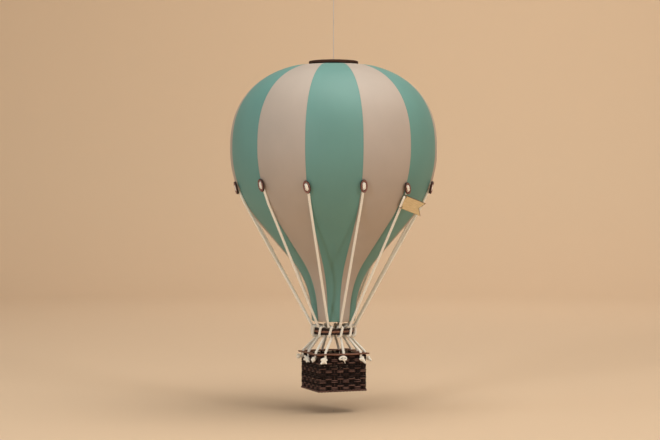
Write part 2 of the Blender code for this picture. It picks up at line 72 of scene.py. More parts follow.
# Surfaces: a patch is a dict of points, faces by their number of corners, and a (u, v) for each corner
def grid(points, u, v, wrapRows=False, wrapColumns=True, lids=True):
    # quads between rows and columns of points; u belongs to the rows and v to the columns, and each has one
    # value more where it wraps. A fan of triangles closes each end of a tube
    rows, columns = points.shape[:2]
    i, j = np.meshgrid(np.arange(rows - (not wrapRows)), np.arange(columns - (not wrapColumns)),
                       indexing="ij")
    i, j = i.ravel(), j.ravel()
    up, on = (i + 1) % rows * columns, (j + 1) % columns
    patch = dict(points=points.reshape(-1, 3))
    patch["faces"] = [np.stack([i * columns + j, up + j, up + on, i * columns + on], -1)]
    patch["uvs"] = [np.stack([u[[i, i + 1, i + 1, i]], v[[j, j, j + 1, j + 1]]], -1).transpose(1, 0, 2)]
    if wrapRows or not wrapColumns or not lids:
        return patch
    middles = np.stack([points[0].mean(0), points[-1].mean(0)])
    j = np.arange(columns)
    first, last = j, (rows - 1) * columns + j
    for ring, middle, order in ((first, 0, 1), (last, 1, -1)):
        fan = np.stack([ring, np.roll(ring, -1), np.full(columns, rows * columns + middle)], -1)
        if order < 0:
            fan = fan[:, [1, 0, 2]]
        patch["faces"].append(fan)
        patch["uvs"].append(np.stack([np.full((columns, 3), u[-middle]), v[[j, j + 1, j]].T], -1))
    patch["points"] = np.concatenate([patch["points"], middles])
    return patch


def outward(patch):
    # turns every face round if the volume they enclose, summed over their triangles, comes out negative
    points, volume = patch["points"] - patch["points"].mean(0), 0.0
    for faces in patch["faces"]:
        for k in range(1, faces.shape[1] - 1):
            a, b, c = (points[faces[:, n]] for n in (0, k, k + 1))
            volume += (a * np.cross(b, c)).sum()
    if volume < 0:
        patch["faces"] = [faces[:, ::-1] for faces in patch["faces"]]
        patch["uvs"] = [uv[:, ::-1] for uv in patch["uvs"]]
    return patch


def makePiece(name, patches, material, slot=None, replaced=None, body="balloon"):
    mesh = bpy.data.meshes.new(name)
    patches = [outward(patch) for patch in patches]
    starts = np.cumsum([0] + [len(patch["points"]) for patch in patches])
    faces = [f + start for patch, start in zip(patches, starts) for f in patch["faces"]]
    uvs = [uv for patch in patches for uv in patch["uvs"]]
    corners = np.concatenate([f.ravel() for f in faces]).astype(np.int32)
    sizes = np.concatenate([np.full(len(f), f.shape[1]) for f in faces])
    mesh.vertices.add(starts[-1])
    mesh.vertices.foreach_set("co", np.concatenate([p["points"] for p in patches]).ravel().astype(np.float32))
    mesh.loops.add(len(corners))
    mesh.loops.foreach_set("vertex_index", corners)
    mesh.polygons.add(len(sizes))
    mesh.polygons.foreach_set("loop_start", (np.cumsum(sizes) - sizes).astype(np.int32))
    mesh.polygons.foreach_set("use_smooth", np.ones(len(sizes), bool))
    layer = mesh.uv_layers.new(name="place")
    layer.data.foreach_set("uv", np.concatenate([uv.reshape(-1) for uv in uvs]).astype(np.float32))
    mesh.update(calc_edges=True)
    mesh.validate()
    mesh.materials.append(material)
    obj = bpy.data.objects.new(name, mesh)
    bpy.context.scene.collection.objects.link(obj)
    if slot:
        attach(obj, body)
        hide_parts(replaced)
    return obj


def unit(vectors):
    return vectors / np.linalg.norm(vectors, axis=-1, keepdims=True)


def pointsAt(*axes):
    return np.stack(np.broadcast_arrays(*axes), -1)


def around(radius, angle, z):
    # points round the balloon's axis, counted from its front, -Y, towards +X
    return pointsAt(radius * np.sin(angle), -radius * np.cos(angle), z)


def shares(count):
    # equal steps of a whole turn from 0, without its end
    return np.arange(count) / count


def between(start, end, share):
    return start + (end - start) * share


def smoothStep(value, start, end):
    share = np.clip((value - start) / (end - start), 0, 1)
    return share * share * (3 - 2 * share)


def rounded(corners, steps=10):
    # a route through (corner, bend radius) pairs: each bend is an arc that touches both straight runs, and
    # its points are weighted means of its first and last spoke, by the sines of the shares of its turn
    route = [corners[0][0][None]]
    for (before, _), (corner, radius), (after, _) in zip(corners, corners[1:], corners[2:]):
        back, ahead = unit(before - corner), unit(after - corner)
        turn = math.pi - math.acos(np.clip(back @ ahead, -1, 1))
        if radius == 0 or turn < math.radians(2):
            route.append(corner[None])
            continue
        middle = corner + unit(back + ahead) * radius / math.cos(turn / 2)
        first, last = (corner + way * radius * math.tan(turn / 2) - middle for way in (back, ahead))
        share = np.linspace(0, 1, steps + 1)[:, None]
        spokes = first * np.sin((1 - share) * turn) + last * np.sin(share * turn)
        route.append(middle + spokes / math.sin(turn))
    return np.concatenate(route + [corners[-1][0][None]])


def evenly(path, step, softness=0):
    # the path again with points a step apart, each then moved towards the mean of its neighbours
    length = np.concatenate([[0], np.cumsum(np.linalg.norm(np.diff(path, axis=0), axis=1))])
    at = np.linspace(0, length[-1], max(4, round(length[-1] / step) + 1))
    path = np.stack([np.interp(at, length, path[:, k]) for k in range(3)], -1)
    for _ in range(softness):
        path[1:-1] = (path[:-2] + 2 * path[1:-1] + path[2:]) / 4
    return path


def carriedFrame(path, start):
    # Two directions square to the path at each point, that turn no more than the path does. Any square
    # directions are taken first. The angle from each, carried on by the least turn, to the next one is summed
    # along the path and taken off, and the first pair is turned towards start
    tangent = unit(np.gradient(path, axis=0))
    first = unit(np.cross(tangent, np.eye(3)[np.argmin(np.abs(tangent), axis=1)]))
    other = np.cross(tangent, first)
    a, b, x = tangent[:-1], tangent[1:], first[:-1]
    axis, cosine = np.cross(a, b), (a * b).sum(1, keepdims=True)
    carried = x * cosine + np.cross(axis, x) + axis * (axis * x).sum(1, keepdims=True) / (1 + cosine)
    turns = np.arctan2((carried * other[1:]).sum(1), (carried * first[1:]).sum(1))
    angle = math.atan2(start @ other[0], start @ first[0]) + np.concatenate([[0], np.cumsum(turns)])
    across = np.cos(angle)[:, None] * first + np.sin(angle)[:, None] * other
    return tangent, across, np.cross(tangent, across)


def strands(angle, count, size):
    # how far out the skin of a rope of equal round strands lies at an angle, as a share of its radius: the
    # far crossing of a ray from the rope's middle with the circle of the nearest strand
    near = (angle + np.pi / count) % (fullTurn / count) - np.pi / count
    return (1 - size) * np.cos(near) + np.sqrt(size ** 2 - ((1 - size) * np.sin(near)) ** 2)


def tube(path, halfWidth, halfHeight, start, sides=12, ply=None, pitch=7 * mm, closed=False, tone=0.0):
    # a section swept along a path, in the path's carried frame: an ellipse, or with ply = (count, size) a
    # rope of that many strands, whose columns turn once for each pitch. v counts once round, plus tone
    share = shares(sides)
    if closed:
        tangent = unit(np.roll(path, -1, axis=0) - np.roll(path, 1, axis=0))
        across = unit(start - tangent * (start * tangent).sum(1, keepdims=True))
        other = np.cross(tangent, across)
    else:
        tangent, across, other = carriedFrame(path, start)
    steps = np.linalg.norm(np.diff(path, axis=0, append=path[:1] if closed else path[-1:]), axis=1)
    along = np.concatenate([[0], np.cumsum(steps)])
    reach = strands(share * fullTurn, *ply) if ply else np.ones(sides)
    angle = share * fullTurn + (along[:len(path), None] / pitch * fullTurn if ply else 0)
    width = np.broadcast_to(halfWidth, len(path))[:, None] * reach
    height = np.broadcast_to(halfHeight, len(path))[:, None] * reach
    points = (path[:, None] + across[:, None] * (width * np.cos(angle))[..., None]
              + other[:, None] * (height * np.sin(angle))[..., None])
    return grid(points, along, np.arange(sides + 1) / sides + tone, wrapRows=closed)


# Materials: noise at the real scale of each grain
def newMaterial(name, roughness, **inputs):
    material = bpy.data.materials.new(name)
    material.use_nodes = True
    shader = material.node_tree.nodes["Principled BSDF"]
    shader.inputs["Roughness"].default_value = roughness
    for key, value in inputs.items():
        shader.inputs[key.replace("_", " ")].default_value = value
    return material.node_tree, shader, material


def addNode(tree, kind, inputs=(), **settings):
    made = tree.nodes.new("ShaderNode" + kind)
    for key, value in settings.items():
        setattr(made, key, value)
    for key, value in dict(inputs).items():
        if isinstance(value, bpy.types.NodeSocket):
            tree.links.new(value, made.inputs[key])
        else:
            made.inputs[key].default_value = value
    return made


def coordinates(tree, source="Object"):
    return addNode(tree, "TexCoord").outputs[source]


def axesOf(tree, vector):
    return addNode(tree, "SeparateXYZ", {0: vector}).outputs


def maths(tree, kind, *values):
    return addNode(tree, "Math", dict(enumerate(values)), operation=kind).outputs[0]


def vectorMaths(tree, kind, *vectors):
    made = addNode(tree, "VectorMath", dict(enumerate(vectors)), operation=kind)
    return made.outputs["Value" if kind in ("DOT_PRODUCT", "LENGTH") else "Vector"]


def mapped(tree, value, start, end, least=0.0, **settings):
    # least at start and 1 at end
    inputs = {"Value": value, "From Min": start, "From Max": end, "To Min": least}
    return addNode(tree, "MapRange", inputs, **settings).outputs["Result"]


def scaledPlace(tree, scale, source="Object"):
    # coordinates in metres times a scale for each axis
    return vectorMaths(tree, "MULTIPLY", coordinates(tree, source), scale)


def noise(tree, place, scale=1.0, detail=2.0, roughness=0.5):
    return addNode(tree, "TexNoise", {"Vector": place, "Scale": scale, "Detail": detail,
                                      "Roughness": roughness}).outputs["Fac"]


def ramp(tree, factor, stops):
    made = addNode(tree, "ValToRGB", {"Fac": factor})
    elements = made.color_ramp.elements
    for k, (spot, color) in enumerate(stops):
        element = elements[k] if k < 2 else elements.new(spot)
        element.position, element.color = spot, (*color, 1)
    return made.outputs["Color"]


def paint(tree, shader, factor, stops):
    tree.links.new(ramp(tree, factor, stops), shader.inputs["Base Color"])


def shade(color, times):
    return tuple(min(1.0, c * times) for c in color)


def blendColor(tree, shader, factor, other):
    # keeps the base colour where factor is 1, and puts another where it is 0
    before = shader.inputs["Base Color"].links[0].from_socket
    mixed = addNode(tree, "Mix", {"Factor": factor, "A": (*other, 1), "B": before}, data_type="RGBA")
    tree.links.new(mixed.outputs["Result"], shader.inputs["Base Color"])


def addBump(tree, shader, height, strength, distance):
    bump = addNode(tree, "Bump", {"Height": height, "Strength": strength, "Distance": distance})
    tree.links.new(bump.outputs["Normal"], shader.inputs["Normal"])


def shellMaterial(name, color):
    # matte moulded skin: broad faint mottling and a fine tooth
    tree, shader, material = newMaterial(name, 0.56, Specular_IOR_Level=0.55)
    broad = noise(tree, scaledPlace(tree, (35, 35, 22)), detail=3)
    paint(tree, shader, broad, [(0.3, shade(color, 0.965)), (0.7, shade(color, 1.03))])
    fine = noise(tree, scaledPlace(tree, (1400, 1400, 1400)))
    addBump(tree, shader, fine, 0.25, 0.06 * mm)
    return material


def cottonMaterial(name, color):
    # u runs along the cord in metres and v once round it: painted shade in the grooves between three strands,
    # and fine fibres
    tree, shader, material = newMaterial(name, 0.88, Sheen_Weight=0.25, Sheen_Roughness=0.6)
    v = axesOf(tree, coordinates(tree, "UV"))["Y"]
    lobe = maths(tree, "FRACT", maths(tree, "MULTIPLY", v, 3.0))
    edge = maths(tree, "ABSOLUTE", maths(tree, "SUBTRACT", lobe, 0.5))
    grooveShade = ramp(tree, edge, [(0.0, (0, 0, 0)), (0.12, (0.75, 0.75, 0.75)), (0.3, (1, 1, 1))])
    fibre = noise(tree, scaledPlace(tree, (600, 30, 0), "UV"), detail=3, roughness=0.65)
    paint(tree, shader, fibre, [(0.3, shade(color, 0.92)), (0.7, shade(color, 1.05))])
    # painted shade: the grooves between the strands are made darker
    blendColor(tree, shader, grooveShade, shade(color, 0.80))
    addBump(tree, shader, fibre, 0.4, 0.10 * mm)
    return material


def caneMaterial(name, dark, light, roughness, shine=0.3):
    # stained cane: streaks along the strand; v starts at a tone of its own, so that no two strands are alike
    tree, shader, material = newMaterial(name, roughness, Specular_IOR_Level=shine)
    streak = noise(tree, scaledPlace(tree, (130, 5, 0), "UV"), detail=4, roughness=0.6)
    paint(tree, shader, streak, [(0.32, dark), (0.72, light)])
    fine = noise(tree, scaledPlace(tree, (500, 14, 0), "UV"), detail=3)
    addBump(tree, shader, fine, 0.5, 0.15 * mm)
    return tree, shader, material


def woodMaterial(name, dark, light, roughness, grain, shine=0.35):
    # turned or cut wood: noise stretched along the grain, with pores as a second, finer one
    tree, shader, material = newMaterial(name, roughness, Specular_IOR_Level=shine)
    rings = noise(tree, scaledPlace(tree, grain), detail=4, roughness=0.6)
    paint(tree, shader, rings, [(0.3, dark), (0.7, light)])
    pores = noise(tree, scaledPlace(tree, tuple(3 * g for g in grain)))
    addBump(tree, shader, pores, 0.35, 0.08 * mm)
    return tree, shader, material


teal = shellMaterial("teal skin", (0.126, 0.290, 0.265))
beige = shellMaterial("beige skin", (0.445, 0.376, 0.325))
cotton = cottonMaterial("twisted cotton", (0.95, 0.91, 0.82))
darkCane = caneMaterial("dark cane", (0.015, 0.008, 0.006), (0.065, 0.032, 0.024), 0.5)[2]
redCane = caneMaterial("red cane", (0.12, 0.050, 0.032), (0.27, 0.125, 0.080), 0.5)[2]
discWood = woodMaterial("disc wood", (0.045, 0.020, 0.014), (0.080, 0.040, 0.029), 0.6,
                        (60, 900, 900), 0.05)[2]
print("materials made")

# Room: a plain pale bowl, floor and walls in one, open above
room = dict(floorBelowBasket=0.021, floorRadius=2.0, sweepRadius=1.0, wallHeight=2.2,
            floorColor=(0.64, 0.475, 0.325), wallColor=(0.64, 0.485, 0.335), blend=0.3, segments=96)


def makeRoom():
    # a profile of a flat floor with a pinhole in its middle, a quarter circle and a wall, turned round Z
    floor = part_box("basket_wall")[0].z - room["floorBelowBasket"]
    turn = np.linspace(0, np.pi / 2, 25)
    radius = np.concatenate(([0.001, 0.3], room["floorRadius"] + room["sweepRadius"] * np.sin(turn),
                             [room["floorRadius"] + room["sweepRadius"]]))
    height = np.concatenate(([0.0, 0.0], room["sweepRadius"] * (1 - np.cos(turn)), [room["wallHeight"]]))
    angle = shares(room["segments"]) * fullTurn
    points = around(radius[:, None], angle, floor + height[:, None])
    tree, shader, material = newMaterial("pale backdrop", 0.9)
    level = mapped(tree, axesOf(tree, coordinates(tree))["Z"], floor, floor + room["blend"],
                   interpolation_type="SMOOTHSTEP")
    paint(tree, shader, level, [(0.0, room["floorColor"]), (1.0, room["wallColor"])])
    patch = grid(points, radius, np.append(angle, fullTurn), lids=False)
    makePiece("room", [patch], material)


# Light: disc softboxes, placed in metres from the loop, that face the balloon or a target, and a faint sky
sky = dict(color=(1.0, 0.96, 0.92), strength=0.165)
lights = {"top softbox": dict(place=(0.22, -0.5, 1.5), size=2.2, power=40, color=(1.0, 0.95, 0.86)),
          "right softbox": dict(place=(0.76, -1.68, 0.34), size=0.17, power=6.1, color=(1.0, 0.97, 0.93)),
          "left softbox": dict(place=(-1.5, -1.1, 0.34), size=0.17, power=7.4, color=(0.92, 0.98, 1.0)),
          "left fill": dict(place=(-1.9, 0.3, 0.3), size=0.8, power=5, color=(0.58, 0.86, 1.0)),
          "backdrop softbox": dict(place=(0.9, 1.3, 1.2), size=0.9, power=15, color=(1.0, 0.94, 0.86),
                                   target=(1.3, 3.0, -0.6))}


def addLight(name, place, size, power, color, target=(0, 0, -0.2)):
    data = bpy.data.lights.new(name, "AREA")
    data.shape = "DISK"
    data.size = size
    data.energy = power
    data.color = color
    lamp = bpy.data.objects.new(name, data)
    bpy.context.scene.collection.objects.link(lamp)
    lamp.location = place
    lamp.rotation_euler = (Vector(target) - Vector(place)).to_track_quat("-Z", "Y").to_euler()


def makeLights():
    for name, light in lights.items():
        addLight(name, **light)
    world = bpy.data.worlds.new("studio")
    world.use_nodes = True
    background = world.node_tree.nodes["Background"].inputs
    background["Color"].default_value = (*sky["color"], 1)
    background["Strength"].default_value = sky["strength"]
    bpy.context.scene.world = world
    bpy.context.scene.view_settings.view_transform = "Standard"


makeRoom()
makeLights()
print("room and lights placed")

# Envelope: twelve gores round one profile, from under the disc to the mouth
discLow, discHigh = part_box("crown_disc")
envelope = dict(equator=discHigh.z - 85.8 * mm, radius=100 * mm, crownHeight=84.5 * mm, crownPower=2.4,
                opening=16 * mm, topRadius=43.5 * mm, topRise=2.9 * mm, topRows=22,
                shoulderRadius=102.7 * mm, shoulderTurn=math.radians(40.6), taper=52 * mm,
                throatRadius=80.9 * mm, sleeveSlope=math.radians(5.6), sleeve=13.2 * mm, wall=2 * mm,
                stepOutside=22 * mm, stepInside=17.5 * mm, underDisc=0.05 * mm,
                gores=12, firstSeam=math.radians(-35.8), frontGore=math.radians(30.9), seam=0.06 * mm,
                seamDip=0.1 * mm, seamReach=0.5 * mm, edgeColumns=(0, 0.12, 0.35, 0.8), columns=11,
                crownRows=26, shoulderRows=18, taperRows=6, throatRows=14, lipPoints=6)


def seamAngle(index):
    # the seam at the right edge of a gore; the gore in front is a little wider than the others
    rest = fullTurn - envelope["frontGore"]
    return envelope["firstSeam"] + envelope["frontGore"] + rest * index / (envelope["gores"] - 1)


def shellProfile():
    # radius and height from crown to mouth: a top that levels off as an exponential and steps up to the disc,
    # a superellipse, an arc for the shoulder, a straight taper, an arc that curves the other way for the
    # throat, and a straight sleeve, each from where the last one ends
    e = envelope
    power = 2 / e["crownPower"]
    turn = np.linspace(math.acos((e["topRadius"] / e["radius"]) ** (1 / power)), 0, e["crownRows"])
    crown = e["radius"] * np.cos(turn) ** power, e["crownHeight"] * np.sin(turn) ** power
    steep = (crown[1][0] - crown[1][1]) / (crown[0][1] - crown[0][0])
    inward = np.linspace(e["topRadius"] - e["opening"], 0, e["topRows"])[:-1]
    top = crown[1][0] + e["topRise"] * (1 - np.exp(-steep * inward / e["topRise"]))
    seat = discLow.z - e["equator"] - e["underDisc"]
    top += (seat - top) * smoothStep(e["topRadius"] - inward, e["stepOutside"], e["stepInside"])
    runs = [pointsAt(e["topRadius"] - inward, top), pointsAt(*crown)]

    def carryOn(inwards, down):
        runs.append(runs[-1][-1] - pointsAt(inwards, down))

    steepest, last = e["shoulderTurn"], e["sleeveSlope"]
    slope = np.linspace(0, steepest, e["shoulderRows"] + 1)[1:]
    carryOn(e["shoulderRadius"] * (1 - np.cos(slope)), e["shoulderRadius"] * np.sin(slope))
    run = e["taper"] * np.linspace(0, 1, e["taperRows"] + 1)[1:]
    carryOn(run * math.sin(steepest), run * math.cos(steepest))
    slope = np.linspace(steepest, last, e["throatRows"] + 1)[1:]
    carryOn(e["throatRadius"] * (np.cos(slope) - math.cos(steepest)),
            e["throatRadius"] * (math.sin(steepest) - np.sin(slope)))
    run = e["sleeve"] * np.linspace(0, 1, 4)[1:]
    carryOn(run * math.sin(last), run * math.cos(last))
    return np.concatenate(runs) + (0, e["equator"])


def shellLoop():
    # the profile's outer side down, half a circle round the mouth's lip, and the inner side up again; and the
    # direction in which each point may dip, outward on the outer side and none elsewhere
    outer = shellProfile()
    tangent = unit(np.gradient(outer, axis=0))
    normal = pointsAt(-tangent[:, 1], tangent[:, 0])
    inner = outer - normal * envelope["wall"]
    turn = np.linspace(0, np.pi, envelope["lipPoints"] + 2)[1:-1, None]
    bend = np.cos(turn) * normal[-1] + np.sin(turn) * tangent[-1]
    lip = (outer[-1] + inner[-1]) / 2 + envelope["wall"] / 2 * bend
    loop = np.concatenate([outer, lip, inner[::-1]])
    return loop, np.concatenate([normal, 0 * lip, 0 * inner])


def makeGore(index, loop, dips):
    # columns across a gore, closer at its seams, where the skin dips by the square of how near the seam is
    e = envelope
    start, end = (e["firstSeam"] if index == 0 else seamAngle(index - 1)), seamAngle(index)
    radius = loop[:, :1]
    width = (end - start) * radius - e["seam"]
    edge = np.array(e["edgeColumns"]) * mm
    share = np.linspace(0, 1, e["columns"] + 1)[1:-1]
    away = np.concatenate([edge + 0 * width, edge[-1] + (width - 2 * edge[-1]) * share,
                           width - edge[::-1]], axis=1)
    near = np.clip(1 - np.minimum(away, width - away) / e["seamReach"], 0, 1)
    section = loop[:, None] - dips[:, None] * (e["seamDip"] * near ** 2)[..., None]
    angle = start + (e["seam"] / 2 + away) / radius
    points = around(section[..., 0], angle, section[..., 1])
    rows, columns = points.shape[:2]
    patch = grid(points, np.arange(rows + 1) * mm, np.arange(columns) * mm, wrapRows=True,
                 wrapColumns=False)
    a = np.arange(rows // 2 - 1)
    strip = np.stack([a, a + 1, rows - 2 - a, rows - 1 - a], -1) * columns
    patch["faces"] += [strip, strip[:, ::-1] + columns - 1]
    patch["uvs"] += [np.zeros((len(strip), 4, 2))] * 2
    name = f"gore_{index + 1:02d}"
    color, slot = ((teal, "teal_shell"), (beige, "beige_shell"))[index % 2]
    makePiece(f"{name}_skin", [patch], color, slot, name)


shell, shellDips = shellLoop()
for gore in range(envelope["gores"]):
    makeGore(gore, shell, shellDips)
print("envelope made")

# Crown disc: a turned plate, its upper edge rounded more than its lower one
disc = dict(hole=0.9 * mm, holeEdge=0.4 * mm, lowRound=0.35 * mm, highRound=0.9 * mm, segments=128)


def turned(profile, segments):
    # a closed profile of (radius, height) points turned round Z
    angle = shares(segments) * fullTurn
    points = around(profile[:, :1], angle, profile[:, 1:])
    return grid(points, np.arange(len(profile) + 1) * mm, np.append(angle, fullTurn), wrapRows=True)


def makeDisc():
    # out along the underside, a quarter circle, a larger one over the edge, and in along the top to the hole
    d = disc
    turn = np.linspace(0, np.pi / 2, 7)
    s, c = 1 - np.sin(turn), 1 - np.cos(turn)
    low, high, outer = discLow.z, discHigh.z, discHigh.x
    profile = np.concatenate([
        [(d["hole"], low), (outer / 3, low), (outer * 2 / 3, low)],
        pointsAt(outer - d["lowRound"] * s, low + d["lowRound"] * c),
        pointsAt(outer - d["highRound"] * c, high - d["highRound"] * s),
        [(outer * 2 / 3, high), (outer / 3, high), (d["hole"] + d["holeEdge"], high),
         (d["hole"], high - d["holeEdge"])]])
    makePiece("crown_disc_wood", [turned(profile, d["segments"])], discWood, "dark_wood", "crown_disc")


makeDisc()
print("crown disc made")

# Toggles: an oval plate with two holes, an arched rim and a hollow face
toggle = dict(length=12.4 * mm, width=6.9 * mm, thickness=2.2 * mm, floor=1.0 * mm, edge=0.5 * mm,
              rimMiddle=0.75 * mm, rimHalf=0.75 * mm, holeSpacing=6.0 * mm, hole=1.2 * mm,
              belowEquator=35.8 * mm, standoff=1.7 * mm, tilt=math.radians(7.5), lean=6.0,
              nudges={0: (-0.5, 1.4, 5.0), 1: (1.3, 0.2, 28.0), 9: (0.4, 0.0, 2.0),
                      10: (-1.4, 1.7, 5.0), 11: (0.4, 0.5, 10.0)},  # mm down, mm sideways, degrees
              ovalSteps=44, middleSteps=14, rings=(*np.linspace(0, 0.86, 15), 0.90, 0.935, 0.965, 0.985, 1.0),
              edgeShade=(0.96, 0.91))  # shares of the oval's reach where the painted shade on its edge is darkest and where it ends


def toggleFrame(index):
    # the place on the envelope and the along, across and outward directions of the toggle on a seam
    lower, sideways, degrees = toggle["nudges"].get(index, (0.0, 0.0, toggle["lean"]))
    angle = seamAngle(index)
    below = toggle["belowEquator"] + lower * mm
    slope = math.asin(below / envelope["shoulderRadius"])
    radius = envelope["radius"] - envelope["shoulderRadius"] * (1 - math.cos(slope))
    pitched = slope - toggle["tilt"]
    out = around(math.cos(pitched), angle, -math.sin(pitched))
    side = np.array([math.cos(angle), math.sin(angle), 0.0])
    down = np.cross(side, out) * (1 if np.cross(side, out)[2] < 0 else -1)
    lean = math.radians(degrees)
    along = down * math.cos(lean) + side * math.sin(lean)
    place = around(radius, angle, envelope["equator"] - below) + side * sideways * mm
    return place, along, np.cross(out, along), out


def toggleHeights(x, y):
    # front and back height of the plate: the front is the hollow's floor with half an ellipse as its rim, and
    # the back is flat with a rounded edge; both go by the distance from the oval's outline
    t = toggle
    a, b = t["length"] / 2, t["width"] / 2
    level = np.hypot(x / a, y / b)
    steep = np.hypot(x / a ** 2, y / b ** 2) / np.maximum(level, 1e-9)
    inside = (1 - level) / np.maximum(steep, 1e-9)
    arch = np.sqrt(np.clip(1 - ((inside - t["rimMiddle"]) / t["rimHalf"]) ** 2, 0, 1))
    edge = 1 - np.sqrt(np.clip(1 - (1 - np.clip(inside / t["edge"], 0, 1)) ** 2, 0, 1))
    return t["floor"] + (t["thickness"] - t["floor"]) * arch, t["edge"] * edge


def togglePatch():
    # half of the plate is rings between its hole and a D, the half oval and the middle line; the other half
    # is its mirror image, and the two share their points on the middle line
    t = toggle
    turn = np.linspace(-np.pi / 2, np.pi / 2, t["ovalSteps"] + 1)
    share = np.linspace(1, -1, t["middleSteps"] + 1)[1:-1]
    outline = np.concatenate([pointsAt(t["length"] / 2 * np.cos(turn), t["width"] / 2 * np.sin(turn)),
                              pointsAt(0, t["width"] / 2 * share)])
    outline[[0, t["ovalSteps"]], 0] = 0
    centre = np.array([t["holeSpacing"] / 2, 0])
    circle = centre + unit(outline - centre) * t["hole"]
    flat = circle + (outline - circle) * np.array(t["rings"])[:, None, None]
    front, back = toggleHeights(flat[..., 0], flat[..., 1])
    points = np.concatenate([np.concatenate([flat, front[..., None]], -1),
                             np.concatenate([flat, back[..., None]], -1)[::-1]])
    rows, columns = points.shape[:2]
    patch = grid(points, np.arange(rows + 1) * mm, np.arange(columns + 1) * mm, wrapRows=True)
    quads = patch["faces"][0]
    seam = (quads[:, 0] // columns == rows // 2 - 1) & (quads[:, 0] % columns >= t["ovalSteps"])
    quads = quads[~seam]
    half, count = patch["points"], len(patch["points"])
    points = np.concatenate([half, half * (-1, 1, 1)])
    quads = np.concatenate([quads, quads[:, ::-1] + count])
    _, first, same = np.unique(np.round(points / (0.0001 * mm)).astype(np.int64), axis=0,
                               return_index=True, return_inverse=True)
    points, quads = points[first], same.ravel()[quads]
    return dict(points=points, faces=[quads], uvs=[points[quads][..., :2]])


def makeToggleWood():
    # reddish wood with painted shade on its edge: nearly black at the very end of the oval's reach
    tree, shader, material = woodMaterial("toggle wood", (0.16, 0.062, 0.050), (0.33, 0.155, 0.13), 0.42,
                                          (700, 700, 700))
    share = scaledPlace(tree, (2 / toggle["length"], 2 / toggle["width"], 0), "UV")
    # painted shade: the toggle's outline is made nearly black
    inside = mapped(tree, vectorMaths(tree, "LENGTH", share), *toggle["edgeShade"])
    blendColor(tree, shader, inside, (0.030, 0.012, 0.010))
    return material


def makeToggle(index, patch):
    place, along, across, out = toggleFrame(index)
    seat = place + out * toggle["standoff"]
    patch = dict(patch, points=seat + patch["points"] @ np.stack([along, across, out]))
    name = f"toggle_{index + 1:02d}"
    makePiece(f"{name}_wood", [patch], toggleWood, "toggle_wood", name)


toggleWood = makeToggleWood()
plate = togglePatch()
for number in range(envelope["gores"]):
    makeToggle(number, plate)
print("toggles made")

# Rigging cords: through the toggle, straight to the load ring, round it, down through the rim, and a knot
ringLow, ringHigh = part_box("load_ring")
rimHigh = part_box("basket_rim")[1]
wallLow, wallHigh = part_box("basket_wall")
cords = dict(radius=1.3 * mm, seat=1.4 * mm, inHole=1.1 * mm, overWidth=1.75 * mm, overHeight=0.80 * mm,
             step=0.6 * mm, sides=18, ply=(3, 0.60), pitch=6.5 * mm, toggleBend=0.9 * mm, ringInner=16.6 * mm,
             ringOuter=19.8 * mm, wrapShift=1.45 * mm, wrapSlant=-0.6, fromMiddle=24.9 * mm,
             sideHole=17.8 * mm, holeShifts={0: 0.9, 1: 0.8, 2: -1.5, 5: 3.0, 6: 2.4, 9: -2.5},  # mm
             knotBelowRim=5.3 * mm, rimBend=0.8 * mm, overBend=0.9 * mm, lowestBend=1.05 * mm,
             shoulderBend=30 * mm, press=0.05 * mm, flat=(0.6 * mm, 1.3 * mm), full=(4.6 * mm, 7.0 * mm),
             intoKnot=2 * mm)
right, up = np.array([1.0, 0.0, 0.0]), np.array([0.0, 0.0, 1.0])


def cordTop(index):
    # corners of the stretch through the toggle, down to the bend behind its lower hole
    place, along, _, out = toggleFrame(index)
    c, half = cords, toggle["holeSpacing"] / 2
    lift = half * math.sin(toggle["tilt"])
    over = toggle["standoff"] + toggle["floor"] + c["overHeight"] - c["press"]
    stops = ((-half, lift, 0.0), (-half, over, c["overBend"]), (half, over, c["overBend"]),
             (half, c["lowestBend"] - lift, c["toggleBend"]))
    return [(place + along * down + out * high, bend) for down, high, bend in stops]


def cordWrap(index):
    # corners of the turn round the ring: over it, down inside, under, up outside, over and down inside again
    c = cords
    angle = fullTurn * index / envelope["gores"]
    inside, outside = c["ringInner"] - c["seat"], c["ringOuter"] + c["seat"]
    over, under = ringHigh.z + c["seat"], ringLow.z - c["seat"]
    side = np.array([math.cos(angle), math.sin(angle), 0.0])
    stops = ((outside, over, -1.0), (inside, over, -1.0), (inside, under, -1.0),
             (outside, under, c["wrapSlant"]), (outside, over, 1.0), (inside, over, 1.0),
             (inside, under, 1.0))
    return [(around(r, angle, z) + side * along * c["wrapShift"], c["seat"]) for r, z, along in stops]


def cordLeave(index):
    # where the straight run leaves the shoulder: the point of a circle a cord's seat outside it whose tangent
    # ends at the ring, in plan in line with the toggle and the ring
    start, end = cordTop(index)[-1][0], cordWrap(index)[0][0]
    seat = envelope["shoulderRadius"] + cords["seat"]
    centre = envelope["radius"] - envelope["shoulderRadius"]
    across, drop = centre - math.hypot(*end[:2]), envelope["equator"] - end[2]
    slope = math.asin(seat / math.hypot(drop, across)) + math.atan2(across, drop)
    radius = centre + seat * math.cos(slope)
    share = (math.hypot(*start[:2]) - radius) / (math.hypot(*start[:2]) - math.hypot(*end[:2]))
    way = unit(start[:2] + (end[:2] - start[:2]) * share) * radius
    return np.array([*way, envelope["equator"] - seat * math.sin(slope)])


def basketHole(index):
    # the middle of a cord's hole in the rim, the way out from the basket and the way along its side
    side, place = divmod(index + 1, 3)
    out = around(1.0, side * np.pi / 2, 0.0)
    along = np.cross(up, out)
    shift = (place - 1) * cords["sideHole"] + cords["holeShifts"].get(index, 0.0) * mm
    return out * cords["fromMiddle"] + along * shift + up * rimHigh.z, out, along


